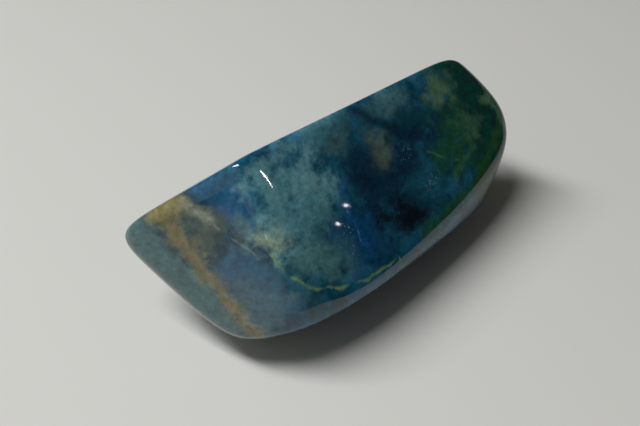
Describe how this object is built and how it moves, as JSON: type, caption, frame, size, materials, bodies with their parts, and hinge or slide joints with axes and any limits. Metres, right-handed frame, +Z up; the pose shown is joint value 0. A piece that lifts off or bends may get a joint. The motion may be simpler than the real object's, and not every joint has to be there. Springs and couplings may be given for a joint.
{
  "type": "jadeite nugget",
  "caption": "Tumbled nugget of blue-green jadeite, a rounded three-sided bar with a broad polished face, resting on a small worn flat.",
  "frame": {"origin": "under the middle of the stone's bounding box, at the height of the flat it rests on", "axes": "+X along the stone's length towards its blunt end, +Y towards its hidden back, away from the polished face, +Z up"},
  "size_m": [0.0638, 0.0282, 0.0319],
  "materials": {
    "jadeite": "polished"
  },
  "bodies": {
    "root": {"jadeite_stone": "jadeite"}
  },
  "joints": []
}
